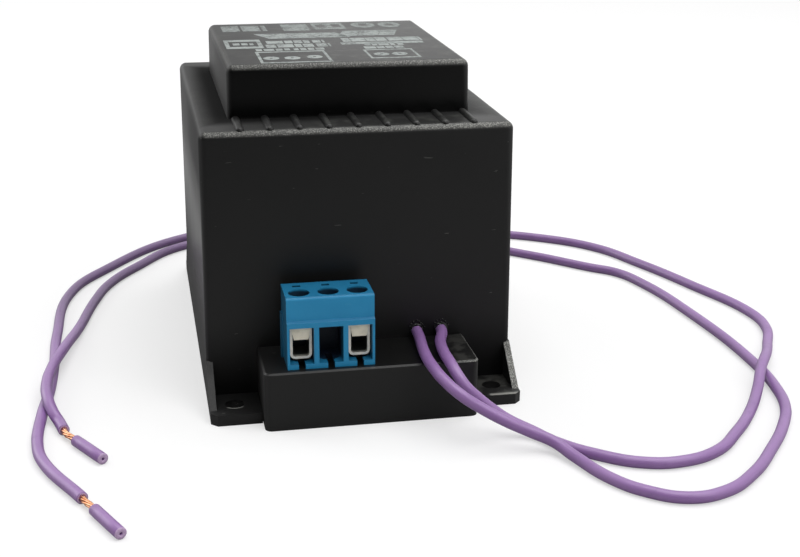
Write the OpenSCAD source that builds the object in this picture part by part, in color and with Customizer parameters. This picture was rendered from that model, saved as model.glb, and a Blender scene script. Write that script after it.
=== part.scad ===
// Potted chassis transformer with a screw terminal block and two flying leads.
// Origin: centre of the four mounting holes, on the mounting plane. The terminals face -Y.

/* [Laminated core] */
// Width of an outer leg or yoke of the lamination; the middle leg is twice as wide
leg_w = 10; // [9:0.5:12]
// Height of the stack of laminations
stack_h = 30; // [24:1:36]
// Thickness of one lamination
lam_t = 0.5; // [0.35:0.05:1]
// Varnish between two laminations
varnish_t = 0.02; // [0.01:0.01:0.05]
// Radius of the weld beads that join the E sheets to the I sheets
weld_r = 0.8; // [0.5:0.1:1.2]

/* [Coil] */
// Air between the middle leg and the coil former
former_gap = 0.3; // [0.1:0.1:0.5]
// Wall of the coil former
former_t = 1; // [0.6:0.1:1.4]
// Thickness of the two flanges and of the middle partition
flange_t = 1; // [0.8:0.1:1.5]
// Gap between the rims of the flanges and the outer legs
flange_gap = 0.5; // [0.3:0.1:1]
// How far the taped windings stay below the rims of the flanges
winding_margin = 0.5; // [0.2:0.1:1.5]
// Thickness of the yellow tape over each winding
tape_t = 0.3; // [0.1:0.1:0.6]
// Corner radius of the wound coil
coil_r = 3; // [2:0.5:4]

/* [Thermal fuse] */
// Diameter of the thermal fuse
fuse_d = 2.5; // [2:0.1:3]
// Length of the thermal fuse
fuse_len = 9; // [7:0.5:12]

/* [Housing] */
// Wall of the housing at its base
wall = 2; // [1.6:0.1:3]
// Resin between the core and the left and right walls
side_gap = 1; // [0.5:0.1:3]
// Resin between the core and the front and back walls
end_gap = 3.5; // [3:0.1:6]
// Height of the coil's lower rim above the mounting plane
coil_floor = 8; // [7:0.5:12]
// Resin between the stack and the shoulder's ceiling
core_top_gap = 0.5; // [0.3:0.1:2]
// Resin between the coil and the plateau's ceiling
coil_top_gap = 0.5; // [0.3:0.1:2]
// Resin between the flanges and the plateau's left and right walls
plateau_gap_x = 5.3; // [2:0.1:6]
// Resin between the flanges and the plateau's front and back walls
plateau_gap_y = 3.5; // [2:0.1:6]
// How far each side leans in from the base to the shoulder
draft = 0.25; // [0:0.05:0.5]
// Radius of the upright corners
corner_r = 1; // [0.6:0.1:1.5]
// Radius of the top edges
edge_r = 1.4; // [0.8:0.1:1.6]
// How far the resin stays below the rim of the open base
resin_recess = 1; // [0.5:0.1:2]

/* [Shoulder ribs] */
// Number of ribs on the front shoulder
rib_count = 9; // [5:2:9]
// Distance between two ribs
rib_pitch = 5.15; // [4:0.05:5.3]
// Width of a rib
rib_w = 1.5; // [1:0.1:2]
// Height of a rib above the shoulder
rib_rise = 0.6; // [0.4:0.1:0.7]
// Distance from the front wall to the rounded nose of a rib
rib_setback = 1; // [0.6:0.1:3]

/* [Terminal ledge] */
// Width of the ledge
ledge_w = 37.8; // [36:0.1:40]
// How far the ledge stands out of the front wall
ledge_d = 12.9; // [12:0.1:16]
// Height of the ledge
ledge_h = 10.7; // [10:0.1:12]
// Wall of the ledge
ledge_wall = 1.6; // [1.2:0.1:2]
// Radius of the ledge's upright corners
ledge_r = 1.2; // [0.8:0.1:1.5]
// Softening of the ledge's top edges
ledge_edge = 0.3; // [0.2:0.1:0.5]

/* [Mounting tabs] */
// How far the tabs stand out of the front and back walls
tab_d = 9.2; // [8.5:0.1:12]
// Width of a tab
tab_w = 9; // [8:0.1:10]
// Thickness of a tab
tab_t = 2; // [1.5:0.1:3]
// Corner cut of a tab
tab_chamfer = 1.2; // [0.5:0.1:2]
// Diameter of the mounting holes
hole_d = 3.4; // [3:0.1:4.4]
// Distance from the side of the housing to the middle of a hole
hole_inset = 4.5; // [4:0.1:5]
// Distance from the wall to the middle of a hole
hole_out = 4.5; // [4:0.1:5]
// Height of a gusset above the mounting plane
gusset_h = 8.6; // [6:0.1:14]
// Thickness of a gusset
gusset_t = 1.15; // [0.8:0.05:1.6]

/* [Terminal block] */
// Distance between two poles
pole_pitch = 5.08; // [5:0.01:5.08]
// Distance from the middle of the housing to the middle of the block
block_x = 7.1; // [5.5:0.1:8]
// Distance from the front of the ledge to the front of the block
block_setback = 1.3; // [0.8:0.1:2]
// Depth of the block
block_d = 8.5; // [8.3:0.1:10]
// Height of the block
block_h = 12.8; // [12.5:0.1:14]
// Height of the lower front, which stands proud of the upper front
step_h = 8.4; // [8:0.1:9]
// How far the lower front stands proud
step_d = 0.6; // [0.3:0.1:0.9]
// Width of a wire entry
entry_w = 4.2; // [4.1:0.05:4.3]
// Thickness of the sill under a wire entry
sill_t = 0.9; // [0.7:0.1:1.2]
// Height of a wire entry
entry_h = 6.6; // [6.3:0.1:6.8]
// Width of the slot through the sill
slot_w = 1.2; // [1:0.1:1.6]
// Diameter of a screwdriver hole
driver_d = 3.7; // [3.5:0.1:3.9]
// Distance from the front of the block to the middle of a screwdriver hole
driver_y = 3.4; // [3.2:0.1:3.6]
// Wall in front of the pockets, above the step
upper_wall = 0.8; // [0.6:0.1:1]
// Width of the notches behind the screwdriver holes
notch_w = 1.4; // [1:0.1:2]
// Distance from the back of the block to the middle of a notch
notch_back = 1.6; // [1.2:0.1:1.8]
// Depth of a notch
notch_h = 1.6; // [1:0.1:2.5]
// How far the rib on the left side stands out
side_rib_t = 0.4; // [0.2:0.1:0.6]

/* [Clamps] */
// Sheet of the clamp cage
cage_t = 0.45; // [0.3:0.05:0.6]
// Outer width of the clamp cage
cage_w = 3.8; // [3.6:0.05:3.9]
// Depth of the clamp cage
cage_d = 4.8; // [4.5:0.1:5.2]
// Height of the cage above the floor of its pocket
cage_lift = 0.5; // [0.2:0.1:0.8]
// Radius of the cage's bottom corners
cage_r = 0.9; // [0.7:0.1:1.2]
// Thickness of the threaded top of the cage
nut_t = 1.2; // [0.9:0.1:1.3]
// Sheet of the wire guard
guard_t = 0.25; // [0.2:0.05:0.35]
// Length of the guard's tongue
tongue_h = 2.4; // [1.6:0.1:3]
// Width of the tongue at its top
tongue_w = 3.5; // [3:0.1:3.7]
// Width of the tongue at its tip
tongue_tip = 2.5; // [2:0.1:3]
// Thread diameter of the clamp screw
screw_d = 2.5; // [2:0.1:2.6]
// Head diameter of the clamp screw
head_d = 3.3; // [3:0.1:3.4]
// Height of the clamp screw's head
head_h = 1.8; // [1.4:0.1:2]
// Width of the driver slot in the screw
driver_slot = 0.6; // [0.4:0.1:0.8]
// Width of the solder pin under a clamp
pin_w = 1; // [0.8:0.1:1.1]
// Thickness of the solder pin
pin_t = 0.8; // [0.6:0.1:1]
// Length of the solder pin below the block
pin_len = 3.9; // [3.7:0.1:4.2]

/* [Leads] */
// Outer diameter of the flying leads
lead_d = 2; // [1.8:0.1:2.1]
// Distance from the middle of the housing to the first lead
lead_a_x = 10.3; // [9:0.1:11]
// Distance between the two leads
lead_spacing = 4.5; // [3.5:0.1:5]
// Diameter of the stranded conductor
strand_d = 1.1; // [0.9:0.1:1.3]
// Straight piece of the bare conductor on either side of its bend
straight_len = 0.8; // [0.5:0.1:1.2]
// How far the conductor reaches into the slug
strand_grip = 4; // [3:0.5:6]
// Length of the loosened insulation slug
slug_len = 9.2; // [6:0.2:12]
// Clearance of a lead in its hole
lead_clear = 0.1; // [0.05:0.05:0.2]
// Diameter of the magnet wire of the secondary
tail_d = 1; // [0.8:0.1:1.2]
// Diameter of the leads between the pins and the primary
link_d = 0.8; // [0.6:0.1:1]
// Length of a splice sleeve
splice_len = 8; // [6:0.5:9]
// Diameter of a splice sleeve
splice_d = 3; // [2.6:0.1:3.4]

/* [Hidden] */
$fn = 48;
eps = 0.01;

// Core: the sheets lie flat, with the legs along X, the yokes at both ends and the back at -X.
window_len = 3 * leg_w;
core_x = window_len + 2 * leg_w;
core_y = 6 * leg_w;
lam_step = lam_t + varnish_t;
lam_count = floor((stack_h + varnish_t) / lam_step);
stack_real = lam_count * lam_step - varnish_t;

// Coil, wound round the middle leg
former_in = leg_w + former_gap;
former_out = former_in + former_t;
rim_out = 2 * leg_w - flange_gap;
tape_out = rim_out - winding_margin;
wind_out = tape_out - tape_t;
rise_out = rim_out - leg_w;
former_len = window_len - 2 * former_gap;
chamber = (former_len - 3 * flange_t) / 2;
chamber_mid = (flange_t + chamber) / 2;

// Heights
core_z = coil_floor + rise_out;
shoulder_h = core_z + stack_h + core_top_gap + wall;
coil_mid_z = core_z + stack_h / 2;
rim_z = stack_h / 2 + rise_out;
plateau_top = coil_mid_z + rim_z + coil_top_gap + wall;

// Housing
inner_x = core_x + 2 * side_gap;
inner_y = core_y + 2 * end_gap;
body_x = inner_x + 2 * wall;
body_y = inner_y + 2 * wall;
plateau_in_x = former_len + 2 * plateau_gap_x;
plateau_in_y = 2 * rim_out + 2 * plateau_gap_y;
plateau_x = plateau_in_x + 2 * wall;
plateau_y = plateau_in_y + 2 * wall;
front = -body_y / 2;
inner_front = -inner_y / 2;
ledge_front = front - ledge_d;
hole_x = body_x / 2 - hole_inset;
hole_y = body_y / 2 + hole_out;
rib_len = (body_y - plateau_y) / 2 - rib_setback - draft;

// Terminal block: x of its middle, y of its front, and heights above the ledge
poles = 3;
block_w = poles * pole_pitch;
block_mid = -block_x;
block_front = ledge_front + block_setback;
fit = 0.1;
entry_z0 = ledge_h + sill_t;
entry_z1 = entry_z0 + entry_h;
pocket_front = block_front + step_d + upper_wall;
cage_front = pocket_front + fit;
pocket_back = cage_front + cage_d + fit;
cage_z0 = entry_z0 + cage_lift;
guard_z1 = entry_z1 - fit;
cage_ceiling = guard_z1 + fit / 2;
cage_z1 = cage_ceiling + nut_t;
pocket_z1 = cage_z1 + 2 * fit;
driver_axis = block_front + driver_y;
head_z = cage_z1 + 4 * fit;
notch_y = block_front + block_d - notch_back;
pin_y = cage_front + cage_d / 2;
pin_z = ledge_h - pin_len;
live_x = block_mid - pole_pitch;
neutral_x = block_mid + pole_pitch;

// Leads inside the resin; joints between them keep a hair's breadth
hair = 0.03;
lead_z = ledge_h + lead_d / 2 + lead_clear + 0.05;
lead_b_x = lead_a_x + lead_spacing;
tape_under = coil_floor + winding_margin;
wind_under = tape_under + tape_t;
fuse_x = -chamber_mid - chamber / 4;
fuse_y = -leg_w + 2;
fuse_z = tape_under - fuse_d / 2 - hair;
fuse_end = fuse_y + fuse_len;
tail_b_x = chamber_mid + chamber / 2 - tail_d;

exit_lift = lead_z - lead_d / 2;

// Routes of the two flying leads, from the inner face of the front wall to the bare ends:
// x, y and how far the underside of the lead lies above the mounting plane
route_a = [
    [lead_a_x, inner_front, exit_lift], [lead_a_x, front - 1, exit_lift],
    [9.5, -46.5, 10.8], [9.7, -51.5, 10.5], [10.8, -55.8, 9.6], [12.9, -59.2, 8.2],
    [16, -60.5, 6.2], [20.1, -62.2, 4.1], [24.2, -63.4, 2.3], [27.6, -65.2, 1.1],
    [29.8, -69.3, 0.3], [33.4, -77.7, 0], [37.3, -82.7, 0], [43.1, -86, 0], [49.6, -85.1, 0],
    [56.6, -80.1, 0], [63.5, -72.3, 0], [69.4, -64.4, 0], [73.5, -57, 0], [75.7, -49, 0],
    [77, -36, 0], [75.6, -8, 0], [72.5, 11.8, 0], [69.4, 20.1, 0], [64.3, 25, 0],
    [53.9, 35.7, 0], [40, 47, 0], [16, 57, 0], [-10, 63.5, 0], [-27.6, 58.4, 0],
    [-39.6, 43.5, 0], [-45.6, 32.5, 0], [-48.5, 22.3, 0], [-51.5, 5.6, 0.2], [-54, -10.7, 1.8],
    [-56.1, -20.5, 2.2], [-56.7, -29, 2.2], [-55.9, -35.3, 1.9], [-54.9, -37.7, 0.8],
    [-54, -39.5, 0], [-53, -43.4, 0]];
route_b = [
    [lead_b_x, inner_front, exit_lift], [lead_b_x, front - 1, exit_lift],
    [13.4, -41.6, 10.8], [12.9, -47.3, 10.8], [13.1, -50.8, 10.5], [13.6, -53.7, 9.6],
    [14.7, -55.5, 8], [16.8, -56, 5.9], [19, -56.4, 4], [21.6, -57.3, 2.2], [26, -59.4, 0.3],
    [28.4, -63, 0], [34.2, -69.3, 0], [40.6, -73.3, 0], [47, -74, 0], [53.8, -71.6, 0],
    [60.3, -65.3, 0], [66.7, -57.2, 0], [72.2, -49, 0.7], [74.8, -43.5, 2.05],
    [77.6, -39.8, 2.2], [80.5, -34.7, 1.1], [83.9, -28, 0], [87.7, -19.5, 0], [88.5, -11, 0],
    [82.9, 9.1, 0], [76.9, 25.8, 0], [70.6, 39.3, 0], [59.8, 49.1, 0], [42, 57.5, 0],
    [16, 65, 0], [-10, 70, 0], [-27.3, 65, 0], [-47.3, 41.8, 0], [-53.5, 29.3, 0],
    [-55.9, 1.7, 0], [-55.8, -13.4, 0], [-56.1, -25.9, 0], [-57, -36.8, 0], [-57.1, -48.9, 0],
    [-55.9, -55.1, 0], [-49.4, -68.9, 0]];

// Where the loosened slugs begin, and the way they point from +X
slug_a = [-50.9, -47.9, -60];
slug_b = [-47.5, -72.9, -64.5];

// Points of an arc round a centre
function arc(c, r, a0, a1, n) =
    [for (i = [0:n]) let (a = a0 + (a1 - a0) * i / n) c + r * [cos(a), sin(a)]];

// Outline of a rectangle with round corners, centred
function round_rect(w, h, r, n = 5) = concat(
    arc([w / 2 - r, h / 2 - r], r, 0, 90, n), arc([r - w / 2, h / 2 - r], r, 90, 180, n),
    arc([r - w / 2, r - h / 2], r, 180, 270, n), arc([w / 2 - r, r - h / 2], r, 270, 360, n));

// Route of a lead's centre line
function laid(route) = [for (p = route) [p.x, p.y, p.z + lead_d / 2]];

// Sweeping a tube of eight sides along a route
function unit(v) = v / norm(v);
function heading(p, i) = unit(p[min(i + 1, len(p) - 1)] - p[max(i - 1, 0)]);
function ring(p, i, r, n) =
    let (t = heading(p, i), side = unit(cross(t, [0, 0, 1])), up = cross(side, t))
    [for (k = [0:n - 1]) let (a = 360 * (k + 0.5) / n) p[i] + r * (cos(a) * side + sin(a) * up)];

module tube_along(route, d, sides = 8) {
    n = len(route);
    points = [for (i = [0:n - 1]) each ring(route, i, d / 2, sides)];
    walls = [for (i = [0:n - 2], k = [0:sides - 1])
        let (m = (k + 1) % sides, a = i * sides, b = a + sides) [a + k, a + m, b + m, b + k]];
    start = [for (k = [sides - 1:-1:0]) k];
    end = [for (k = [0:sides - 1]) (n - 1) * sides + k];
    polyhedron(points, concat(walls, [start, end]), convexity = 10);
}

// Round bar with eight flats from one point to another
module bar(a, b, d) {
    v = b - a;
    translate(a) rotate([0, acos(v.z / norm(v)), atan2(v.y, v.x)])
        rotate([0, 0, 22.5]) cylinder(d = d, h = norm(v), $fn = 8);
}

module box(x0, x1, y0, y1, z0, z1) {
    translate([x0, y0, z0]) cube([x1 - x0, y1 - y0, z1 - z0]);
}

// Quarter of a circle turned to a dome: rounds the top corners of the moulding
module dome(r) {
    rotate_extrude($fn = 32) polygon(concat([[0, 0]], arc([0, 0], r, 0, 90, 6)));
}

// Block that leans in towards its rounded top edges
module moulded_block(w, d, z0, z1, lean) {
    hull() {
        for (sx = [-1, 1], sy = [-1, 1]) {
            translate([sx * (w / 2 - corner_r), sy * (d / 2 - corner_r), z0])
                cylinder(r = corner_r, h = eps, $fn = 32);
            translate([sx * (w / 2 - lean - edge_r), sy * (d / 2 - lean - edge_r), z1 - edge_r])
                dome(edge_r);
        }
    }
}

// Half-round rib along Y with a round nose, its crest rib_rise above z = 0
module shoulder_rib() {
    nose = arc([0, rib_w / 2], rib_w / 2, -90, 0, 4);
    translate([0, 0, rib_rise - rib_w / 2]) rotate([-90, 0, 0])
        rotate_extrude($fn = 24)
            polygon(concat([[0, rib_len + 1]], [for (p = nose) [p.x, p.y]], [[rib_w / 2, rib_len + 1]]));
}

module tab(sx, sy) {
    translate([sx * body_x / 2, sy * (body_y / 2 - wall), 0]) mirror([sx > 0 ? 1 : 0, 0, 0])
        mirror([0, sy < 0 ? 1 : 0, 0]) linear_extrude(tab_t)
            polygon([[0, 0], [tab_w, 0], [tab_w, wall + tab_d],
                [tab_chamfer, wall + tab_d], [0, wall + tab_d - tab_chamfer]]);
}

module gusset(sx, sy) {
    middle = sx * (body_x / 2 - gusset_t / 2);
    reach = tab_d - tab_chamfer;
    translate([middle + gusset_t / 2, 0, 0]) rotate([90, 0, -90]) linear_extrude(gusset_t)
        polygon([for (p = [[body_y / 2 - wall, 0], [body_y / 2 + reach, 0],
            [body_y / 2 + reach, tab_t / 2], [body_y / 2 - draft, gusset_h],
            [body_y / 2 - wall, gusset_h]]) [-sy * p.x, p.y]]);
}

module ledge() {
    hull()
        for (sx = [-1, 1], y = [ledge_front + ledge_r, front + ledge_r])
            translate([sx * (ledge_w / 2 - ledge_r), y, 0]) {
                cylinder(r = ledge_r, h = ledge_h - ledge_edge, $fn = 32);
                cylinder(r = ledge_r - ledge_edge, h = ledge_h, $fn = 32);
            }
}

// Space inside the housing, from a height z0 up
module inner_space(z0) {
    box(-inner_x / 2, inner_x / 2, -inner_y / 2, inner_y / 2, z0, shoulder_h - wall);
    box(-plateau_in_x / 2, plateau_in_x / 2, -plateau_in_y / 2, plateau_in_y / 2,
        z0, plateau_top - wall);
    box(-ledge_w / 2 + ledge_wall, ledge_w / 2 - ledge_wall,
        ledge_front + ledge_wall, inner_front + eps, z0, ledge_h - ledge_wall);
}

module lead_holes(d) {
    for (x = [lead_a_x, lead_b_x])
        translate([x, inner_front + eps, lead_z]) rotate([90, 0, 0])
            cylinder(d = d, h = wall + 2 * eps + lead_clear + 1);
}

module housing() {
    color("#232322") difference() {
        union() {
            moulded_block(body_x, body_y, 0, shoulder_h, draft);
            moulded_block(plateau_x, plateau_y, shoulder_h - 2 * wall, plateau_top, draft / 2);
            ledge();
            for (sx = [-1, 1], sy = [-1, 1]) {
                tab(sx, sy);
                gusset(sx, sy);
            }
            for (i = [0:rib_count - 1])
                translate([(i - (rib_count - 1) / 2) * rib_pitch, front + rib_setback, shoulder_h])
                    shoulder_rib();
        }
        inner_space(-1);
        for (sx = [-1, 1], sy = [-1, 1])
            translate([sx * hole_x, sy * hole_y, -1]) cylinder(d = hole_d, h = tab_t + 2);
        lead_holes(lead_d + 2 * lead_clear);
        for (x = [live_x, neutral_x]) pin_shape(x, 0.1, ledge_h + 1);
    }
}

module potting_resin() {
    color("#3a3632") difference() {
        inner_space(resin_recess);
        box(-core_x / 2, core_x / 2, -core_y / 2, core_y / 2, core_z, core_z + stack_real);
        box(-former_len / 2, former_len / 2, -rim_out, rim_out,
            coil_mid_z - rim_z, coil_mid_z + rim_z);
        core_welds();
        thermal_fuse();
        link_pin_to_fuse(-hair);
        link_fuse_to_winding(-hair);
        link_pin_to_winding(-hair);
        splice_a();
        splice_b();
        secondary_tail_a(-hair);
        secondary_tail_b(-hair);
        for (x = [live_x, neutral_x]) pin_shape(x, 0, ledge_h);
    }
}

module sheets(outline) {
    for (i = [0:lam_count - 1])
        translate([0, 0, core_z + i * lam_step]) linear_extrude(lam_t) polygon(outline);
}

module core_e_sheets() {
    back = -core_x / 2;
    tips = core_x / 2 - leg_w;
    slot = back + leg_w;
    color("#6d7075") sheets([[back, -core_y / 2], [tips, -core_y / 2], [tips, -2 * leg_w],
        [slot, -2 * leg_w], [slot, -leg_w], [tips, -leg_w], [tips, leg_w], [slot, leg_w],
        [slot, 2 * leg_w], [tips, 2 * leg_w], [tips, core_y / 2], [back, core_y / 2]]);
}

module core_i_sheets() {
    x0 = core_x / 2 - leg_w;
    color("#777a80") sheets([[x0, -core_y / 2], [core_x / 2, -core_y / 2],
        [core_x / 2, core_y / 2], [x0, core_y / 2]]);
}

module core_welds() {
    color("#8c8f94") for (sy = [-1, 1])
        translate([core_x / 2 - leg_w, sy * core_y / 2, core_z]) linear_extrude(stack_real)
            polygon(arc([0, 0], weld_r, 90 * sy - 90, 90 * sy + 90, 8));
}

// Section of the coil at a distance from the middle leg, drawn in the YZ plane
module coil_section(out, r) {
    polygon(round_rect(2 * out, 2 * (out - leg_w) + stack_h, r));
}

module along_x(x0, len) {
    translate([x0, 0, coil_mid_z]) rotate([90, 0, 90]) linear_extrude(len) children();
}

module coil_former() {
    color("#e8e2d2") difference() {
        union() {
            along_x(-former_len / 2, former_len) coil_section(former_out, 0.5);
            for (x = [-former_len / 2, -flange_t / 2, former_len / 2 - flange_t])
                along_x(x, flange_t) coil_section(rim_out, 1);
        }
        along_x(-former_len / 2 - 1, former_len + 2)
            square([2 * former_in, stack_h + 2 * former_gap], center = true);
    }
}

// One winding or its tape, in the chamber on the side sx
module coil_layer(sx, out, r, inside, r_in) {
    along_x(sx * chamber_mid - chamber / 2, chamber) difference() {
        coil_section(out, r);
        coil_section(inside, r_in);
    }
}

module primary_winding() {
    color("#b5622c") coil_layer(-1, wind_out, coil_r, former_out, 0.5);
}

module secondary_winding() {
    color("#c4702f") coil_layer(1, wind_out, coil_r, former_out, 0.5);
}

module primary_tape() {
    color("#e2b93b") difference() {
        coil_layer(-1, tape_out, coil_r + tape_t, wind_out, coil_r);
        link_fuse_to_winding(-hair);
        link_pin_to_winding(-hair);
    }
}

module secondary_tape() {
    color("#e2b93b") difference() {
        coil_layer(1, tape_out, coil_r + tape_t, wind_out, coil_r);
        secondary_tail_a(-hair);
        secondary_tail_b(-hair);
    }
}

module thermal_fuse() {
    color("#c9ccd0") translate([fuse_x, fuse_y, fuse_z]) rotate([-90, 0, 0])
        cylinder(d = fuse_d, h = fuse_len);
}

// Wire that runs back from one joint to another, with a bend between its straight ends
module bent_wire(x0, x1, y0, y1, z, d, gap) {
    bar([x0, y0 + gap, z], [x0, y0 + 1.5 * d, z], d);
    bar([x0, y0 + d, z], [x1, y1 - d, z], d);
    bar([x1, y1 - 1.5 * d, z], [x1, y1 - gap, z], d);
}

module link_pin_to_fuse(gap = hair) {
    color("#b87333")
        bent_wire(live_x, fuse_x, pin_y + pin_t / 2, fuse_y, fuse_z, link_d, gap);
}

// Wire that runs back, then rises to the underside of the primary
module link_up(x, y_from, y_up, gap) {
    bar([x, y_from + gap, fuse_z], [x, y_up + link_d / 2, fuse_z], link_d);
    bar([x, y_up, fuse_z - link_d / 2], [x, y_up, wind_under - gap], link_d);
}

module link_fuse_to_winding(gap = hair) {
    color("#b87333") link_up(fuse_x, fuse_end, fuse_end + 3, gap);
}

module link_pin_to_winding(gap = hair) {
    color("#b87333") link_up(neutral_x, pin_y + pin_t / 2, -leg_w / 2, gap);
}

module splice(x) {
    color("#d9d4c8") translate([x, inner_front, lead_z]) rotate([-90, 0, 0])
        cylinder(d = splice_d, h = splice_len);
}

module splice_a() {
    splice(lead_a_x);
}

module splice_b() {
    splice(lead_b_x);
}

// Wire from a splice to the front of the secondary
module tail(x0, x1, gap) {
    bent_wire(x0, x1, inner_front + splice_len, -wind_out, lead_z, tail_d, gap);
}

module secondary_tail_a(gap = hair) {
    color("#b87333") tail(lead_a_x, lead_a_x, gap);
}

module secondary_tail_b(gap = hair) {
    color("#b87333") tail(lead_b_x, tail_b_x, gap);
}

// Solder pin from its tip up to a height, grown on all sides by a clearance
module pin_shape(x, grow, z1) {
    box(x - pin_w / 2 - grow, x + pin_w / 2 + grow, pin_y - pin_t / 2 - grow,
        pin_y + pin_t / 2 + grow, pin_z, z1);
}

module terminal_block() {
    left = block_mid - block_w / 2;
    rib_y = block_front + block_d - 2.4;
    color("#2a73a5") difference() {
        union() {
            translate([left, block_front, ledge_h]) rotate([90, 0, 90]) linear_extrude(block_w)
                polygon(concat([[0, 0], [block_d, 0], [block_d, block_h]],
                    arc([step_d + 0.5, block_h - 0.5], 0.5, 90, 180, 4),
                    [[step_d, step_h + 0.3], [0, step_h]]));
            box(left - side_rib_t, left + 1, rib_y, rib_y + 1, ledge_h, ledge_h + step_h);
        }
        box(left + block_w - side_rib_t - fit, left + block_w + 1, rib_y - fit, rib_y + 1 + fit,
            ledge_h - 1, ledge_h + step_h + fit);
        for (i = [-1:1]) pole_cut(block_mid + i * pole_pitch);
    }
}

module pole_cut(x) {
    w = entry_w / 2;
    box(x - w, x + w, block_front - 1, pocket_front + eps, entry_z0, entry_z1);
    box(x - w, x + w, pocket_front, pocket_back, entry_z0, pocket_z1);
    box(x - slot_w / 2, x + slot_w / 2, block_front - 1, pin_y + pin_t / 2 + fit,
        ledge_h - 1, entry_z0 + eps);
    translate([x, driver_axis, pocket_z1 - eps]) cylinder(d = driver_d, h = block_h);
    box(x - notch_w / 2, x + notch_w / 2, notch_y - 0.5, notch_y + 0.5,
        ledge_h + block_h - notch_h, ledge_h + block_h + 1);
}

// Section of the cage: open below the screw, with round bottom corners
module cage_outline(inset, top) {
    w = cage_w / 2 - inset;
    z = cage_z0 + inset;
    r = cage_r - inset;
    polygon(concat(arc([-w + r, z + r], r, 180, 270, 4), arc([w - r, z + r], r, 270, 360, 4),
        [[w, top], [-w, top]]));
}

module clamp_cage(x) {
    color("#b9bcc0") difference() {
        union() {
            translate([x, cage_front + cage_d, 0]) rotate([90, 0, 0]) linear_extrude(cage_d)
                difference() {
                    cage_outline(0, cage_z1);
                    cage_outline(cage_t, cage_ceiling);
                }
            pin_shape(x, 0, cage_z0 + cage_t / 2);
        }
        translate([x, driver_axis, cage_ceiling - 1]) cylinder(d = screw_d + fit, h = nut_t + 2);
    }
}

module clamp_cage_left() {
    clamp_cage(live_x);
}

module clamp_cage_right() {
    clamp_cage(neutral_x);
}

module wire_guard(x) {
    strap = cage_w / 2 - cage_t - fit / 2;
    y0 = cage_front - fit / 2 - guard_t;
    color("#d8d3c4") union() {
        box(x - strap, x + strap, y0, cage_front + cage_d - fit, guard_z1 - guard_t, guard_z1);
        translate([x, y0 + guard_t, guard_z1]) rotate([90, 0, 0]) linear_extrude(guard_t)
            polygon([[-tongue_w / 2, 0], [tongue_w / 2, 0],
                [tongue_tip / 2, -tongue_h], [-tongue_tip / 2, -tongue_h]]);
    }
}

module wire_guard_left() {
    wire_guard(live_x);
}

module wire_guard_right() {
    wire_guard(neutral_x);
}

module clamp_screw(x) {
    color("#9a9da2") translate([x, driver_axis, 0]) difference() {
        union() {
            translate([0, 0, guard_z1 + hair]) cylinder(d = screw_d, h = head_z - guard_z1);
            translate([0, 0, head_z]) cylinder(d = head_d, h = head_h);
        }
        box(-head_d, head_d, -driver_slot / 2, driver_slot / 2, head_z + head_h / 2, head_z + 9);
    }
}

module clamp_screw_left() {
    clamp_screw(live_x);
}

module clamp_screw_right() {
    clamp_screw(neutral_x);
}

// Bare conductor that leaves the end of a lead, bends and reaches into the slug
module strands(route, place) {
    end = route[len(route) - 1];
    mouth = [place.x, place.y, lead_d / 2];
    way = [cos(place.z), sin(place.z), 0];
    color("#d98a5a") tube_along([end, end + straight_len * heading(route, len(route) - 1),
        mouth - straight_len * way, mouth + strand_grip * way], strand_d);
}

// Loosened piece of insulation, still threaded on the strands
module slug(place) {
    color("#8f6bb0") translate([place.x, place.y, lead_d / 2]) rotate([0, 90, place.z]) difference() {
        cylinder(d = lead_d, h = slug_len);
        translate([0, 0, -1]) cylinder(d = strand_d + hair, h = slug_len + 2);
    }
}

module lead_a() {
    color("#8f6bb0") tube_along(laid(route_a), lead_d);
}

module lead_a_strands() {
    strands(laid(route_a), slug_a);
}

module lead_a_slug() {
    slug(slug_a);
}

module lead_b() {
    color("#8f6bb0") tube_along(laid(route_b), lead_d);
}

module lead_b_strands() {
    strands(laid(route_b), slug_b);
}

module lead_b_slug() {
    slug(slug_b);
}

housing();
potting_resin();
core_e_sheets();
core_i_sheets();
core_welds();
coil_former();
primary_winding();
secondary_winding();
primary_tape();
secondary_tape();
thermal_fuse();
link_pin_to_fuse();
link_fuse_to_winding();
link_pin_to_winding();
splice_a();
splice_b();
secondary_tail_a();
secondary_tail_b();
terminal_block();
clamp_cage_left();
clamp_cage_right();
wire_guard_left();
wire_guard_right();
clamp_screw_left();
clamp_screw_right();
lead_a();
lead_a_strands();
lead_a_slug();
lead_b();
lead_b_strands();
lead_b_slug();
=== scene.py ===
"""Potted chassis transformer: looks of the case, terminal block, clamps and flying leads."""
from math import cos, pi, radians, sin

import bmesh
import bpy
from mathutils import Matrix, Vector, geometry, noise

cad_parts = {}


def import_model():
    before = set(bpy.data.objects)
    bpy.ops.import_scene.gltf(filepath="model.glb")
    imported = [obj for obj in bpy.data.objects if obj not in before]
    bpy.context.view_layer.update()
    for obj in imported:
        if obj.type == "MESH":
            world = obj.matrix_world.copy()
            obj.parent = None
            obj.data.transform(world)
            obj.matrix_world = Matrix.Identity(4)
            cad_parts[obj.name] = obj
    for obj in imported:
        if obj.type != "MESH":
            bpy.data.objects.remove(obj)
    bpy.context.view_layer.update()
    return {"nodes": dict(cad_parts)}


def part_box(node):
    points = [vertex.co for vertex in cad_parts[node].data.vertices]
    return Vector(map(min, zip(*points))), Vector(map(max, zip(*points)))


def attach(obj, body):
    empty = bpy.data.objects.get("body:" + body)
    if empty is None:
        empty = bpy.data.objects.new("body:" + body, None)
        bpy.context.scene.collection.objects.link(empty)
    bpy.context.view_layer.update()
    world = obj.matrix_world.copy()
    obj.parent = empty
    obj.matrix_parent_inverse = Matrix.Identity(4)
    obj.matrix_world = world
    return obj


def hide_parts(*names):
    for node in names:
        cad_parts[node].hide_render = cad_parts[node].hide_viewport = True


MM = 0.001
SHOULDER_Z = 50.0  # top of the case round the raised part
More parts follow.
